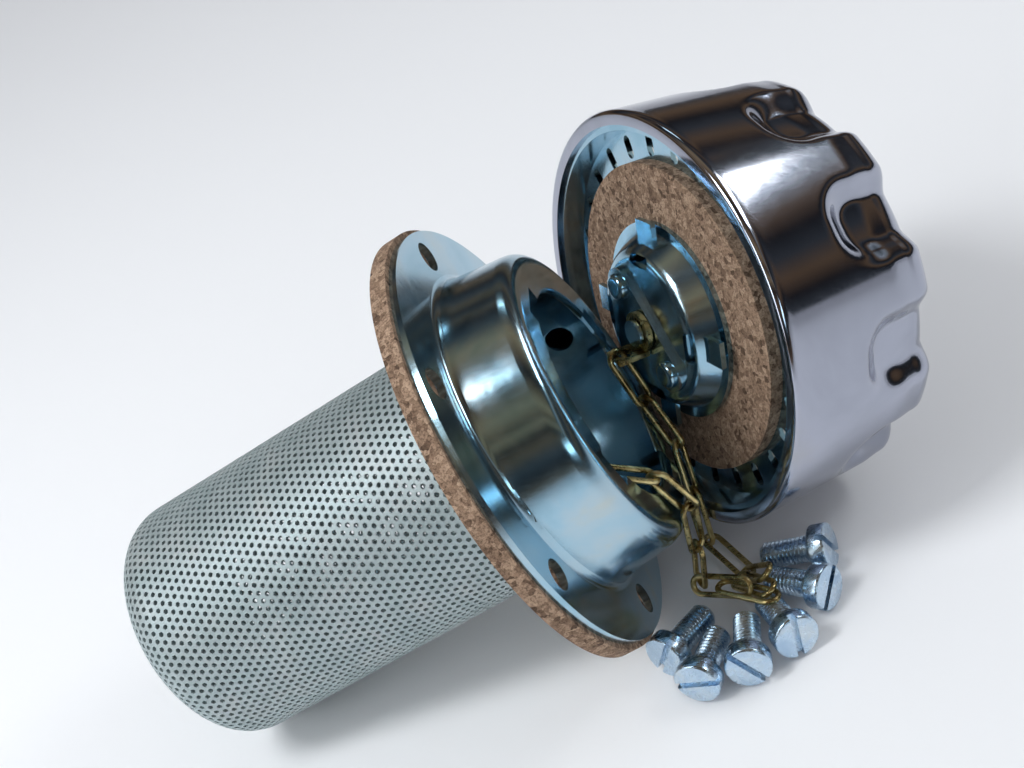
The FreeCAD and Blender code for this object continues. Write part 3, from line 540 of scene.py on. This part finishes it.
shell_profile = [(hem_inner_r, 0), (rim_r - hem_round, 0)]
for step in range(1, hem_steps + 1):
    turn = step / hem_steps * math.pi / 2
    reach = rim_r - hem_round + hem_round * math.sin(turn)
    shell_profile.append((reach, hem_round - hem_round * math.cos(turn)))
skirt_lean = (rim_r - skirt_r) / skirt_height
top_lean = (skirt_r - cap_top_r) / (cap_height - skirt_height)
for step in range(1, skirt_rings + 1):
    height = hem_round + step * skirt_ring
    reach = min(rim_r - skirt_lean * height, skirt_r - top_lean * (height - skirt_height))
    shell_profile.append((reach, height))
arc_r = skirt_r - top_lean * (cap_height - cap_round - skirt_height)
for step in range(round_steps + 1):
    turn = step / round_steps * math.pi / 2
    reach = arc_r - cap_round + cap_round * math.cos(turn)
    shell_profile.append((reach, cap_height - cap_round + cap_round * math.sin(turn)))
for reach in (0.0305, 0.0290, 0.0270, press_start_r, 0.0180, 0.0090, 0.0):
    shell_profile.append((reach, cap_height))
shell = turned("cap_shell_sheet", shell_sides, shell_profile)


def smooth(share):
    """Eased step from 0 to 1."""
    share = max(0.0, min(1.0, share))
    return share * share * (3 - 2 * share)


# A point is pressed in by how far it lies inside the outline of the nearest scoop.
pitch_angle = 2 * math.pi / scoop_count
for point in shell.data.vertices:
    reach = math.hypot(point.co.x, point.co.y)
    turn = math.atan2(point.co.y, point.co.x) - scoop_first
    turn = (turn + pitch_angle / 2) % pitch_angle - pitch_angle / 2
    aside = abs(turn) * skirt_r - (scoop_half - scoop_corner)
    below = scoop_start + scoop_corner - point.co.z
    inside = scoop_corner - math.hypot(max(aside, 0), max(below, 0)) - min(max(aside, below), 0)
    press = scoop_depth * smooth(inside / scoop_side) * smooth((reach - press_start_r) / press_run)
    if reach > 0:
        point.co.x *= 1 - press / reach
        point.co.y *= 1 - press / reach
shell.data.transform(cap_place)
thickened(shell, shell_wall, cap_place @ Vector((0, 0, skirt_height / 2)))
bpy.ops.object.shade_smooth_by_angle(angle=math.radians(40))
shell.data.materials.append(chrome)
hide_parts("cap_shell")
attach(shell, "cap")

# Inside of the cap: the pan crimped into its rim and the bayonet boss, its strap and the
# swivel pin riveted to that pan, with the filter's core and plate behind them. All are
# pressed from steel and zinc plated.
give(zinc, "base_pan", "bayonet_boss", "chain_strap", "boss_rivets", "swivel_pin",
     "filter_core", "filter_plate")

# Air filter: a ring of pale felt closed inside the cap, where nothing shows it but the
# vent slots of the pan.
felt, felt_shader, felt_place = new_finish("filter_felt", 0.0)
felt_shader.inputs["Roughness"].default_value = 0.95
fibres = add_node(felt, "ShaderNodeTexNoise",
                  Scale=1500.0, Detail=5.0, Roughness=0.8, Distortion=1.5)
join(felt, felt_place, fibres.inputs["Vector"])
felt_colour = colour_steps(felt, fibres.outputs["Fac"], [
    (0.3, (0.60, 0.56, 0.48)),
    (0.7, (0.84, 0.82, 0.76)),
])
join(felt, felt_colour, felt_shader.inputs["Base Color"])
felt_relief = add_node(felt, "ShaderNodeBump", Strength=0.5, Distance=0.0002)
join(felt, fibres.outputs["Fac"], felt_relief.inputs["Height"])
join(felt, felt_relief.outputs["Normal"], felt_shader.inputs["Normal"])
give(felt, "filter_element")

# Chain: links of bent brass wire, gone brown where they rub least, between an eyelet on
# the cap's swivel and a bar behind a hole of the sleeve.
brass, brass_shader, brass_place = new_finish("aged_brass", 1.0)
brass_patches = rub(brass, brass_shader, brass_place, 210.0, 0.20, 0.42, 0.3)
brass_colour = colour_steps(brass, brass_patches, [
    (0.30, (0.20, 0.15, 0.07)),
    (0.46, (0.45, 0.35, 0.15)),
    (0.62, (0.66, 0.54, 0.26)),
    (0.80, (0.72, 0.62, 0.36)),
])
join(brass, brass_colour, brass_shader.inputs["Base Color"])
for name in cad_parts:
    if name.startswith("chain_") and name != "chain_strap":
        give(brass, name)

# Flange screws: six slotted cheese-head screws with a fine thread, zinc plated, lying in
# an arc in front of the neck.
head_r = 0.00425
head_height = 0.0033
shank_r = 0.0025
shank_length = 0.010
thread_pitch = 0.0008
thread_depth = 0.0004
crest_start = 0.35
crest_end = 0.5
tip_chamfer = 0.0006
thread_sunk = 0.0003
head_edge = 0.0005
slot_width = 0.0012
slot_depth = 0.0015
# Each head's place from the neck's base in mm, then the screw's bearing and its roll in degrees.
screw_places = [
    (8.2, -27.3, 46.0, 25),
    (12.9, -35.1, 64.0, 78),
    (22.4, -35.0, 82.0, -38),
    (32.1, -31.6, 106.0, 8),
    (40.2, -22.7, 140.0, 60),
    (42.8, -12.9, 161.0, -20),
]

screw_zinc, screw_shader, screw_place = new_finish("screw_zinc", 1.0)
screw_patches = rub(screw_zinc, screw_shader, screw_place, 240.0, 0.20, 0.36, 0.3)
screw_colour = colour_steps(screw_zinc, screw_patches, [
    (0.30, (0.40, 0.54, 0.70)),
    (0.50, (0.52, 0.66, 0.80)),
    (0.72, (0.62, 0.70, 0.76)),
])
join(screw_zinc, screw_colour, screw_shader.inputs["Base Color"])

bpy.ops.object.select_all(action="DESELECT")
bpy.ops.mesh.primitive_cylinder_add(
    vertices=64, radius=head_r, depth=head_height, location=(0, 0, head_height / 2))
screw = bpy.context.object
screw.name = "screw_1"
bpy.ops.object.transform_apply(location=True)
round_edge = screw.modifiers.new("round", "BEVEL")
round_edge.width = head_edge
round_edge.segments = 3
bpy.ops.object.modifier_apply(modifier=round_edge.name)
slot_size = (4 * head_r, slot_width, 2 * slot_depth)
bpy.ops.mesh.primitive_cube_add(size=1, scale=slot_size, location=(0, 0, 0))
slot_tool = bpy.context.object
bpy.context.view_layer.objects.active = screw
slot_cut = screw.modifiers.new("slot", "BOOLEAN")
slot_cut.operation = "DIFFERENCE"
slot_cut.object = slot_tool
bpy.ops.object.modifier_apply(modifier=slot_cut.name)
bpy.data.objects.remove(slot_tool)

thread_steps = [(shank_r - thread_depth, head_height - thread_sunk)]
for number in range(int(shank_length / thread_pitch)):
    low = head_height + number * thread_pitch
    thread_steps.append((shank_r - thread_depth, low))
    thread_steps.append((shank_r, low + crest_start * thread_pitch))
    thread_steps.append((shank_r, low + crest_end * thread_pitch))
thread_steps.append((shank_r - tip_chamfer, head_height + shank_length))
thread = turned("thread", 40, thread_steps)
bpy.ops.object.mode_set(mode="EDIT")
# The shank's tip is closed first, then the one ring that is left open under the head.
bpy.ops.mesh.edge_face_add()
bpy.ops.mesh.select_all(action="DESELECT")
bpy.ops.mesh.select_non_manifold()
bpy.ops.mesh.edge_face_add()
bpy.ops.object.mode_set(mode="OBJECT")
thread.select_set(True)
screw.select_set(True)
bpy.context.view_layer.objects.active = screw
bpy.ops.object.join()
bpy.ops.object.mode_set(mode="EDIT")
bpy.ops.mesh.select_all(action="SELECT")
bpy.ops.mesh.normals_make_consistent(inside=False)
bpy.ops.object.mode_set(mode="OBJECT")
bpy.ops.object.shade_smooth_by_angle(angle=math.radians(35))
screw.data.materials.append(screw_zinc)

# A screw lies on the rim of its head and on the end of its shank.
tilt = math.atan((head_r - shank_r) / shank_length)
lift = head_r / math.cos(tilt) + head_height * math.tan(tilt)
screw_form = screw.data.copy()
for number, (across, along, bearing, roll) in enumerate(screw_places, 1):
    if number > 1:
        screw = bpy.data.objects.new("screw_%d" % number, screw_form.copy())
        bpy.context.collection.objects.link(screw)
    place = Matrix.Translation((across / 1000 + neck_base.x, along / 1000 + neck_base.y, lift))
    place = place @ Matrix.Rotation(math.radians(bearing), 4, "Z")
    place = place @ Matrix.Rotation(math.pi / 2 + tilt, 4, "Y")
    screw.data.transform(place @ Matrix.Rotation(math.radians(roll), 4, "Z"))
    if number == 1:
        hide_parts("flange_screws")
    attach(screw, "neck")

low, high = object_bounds()
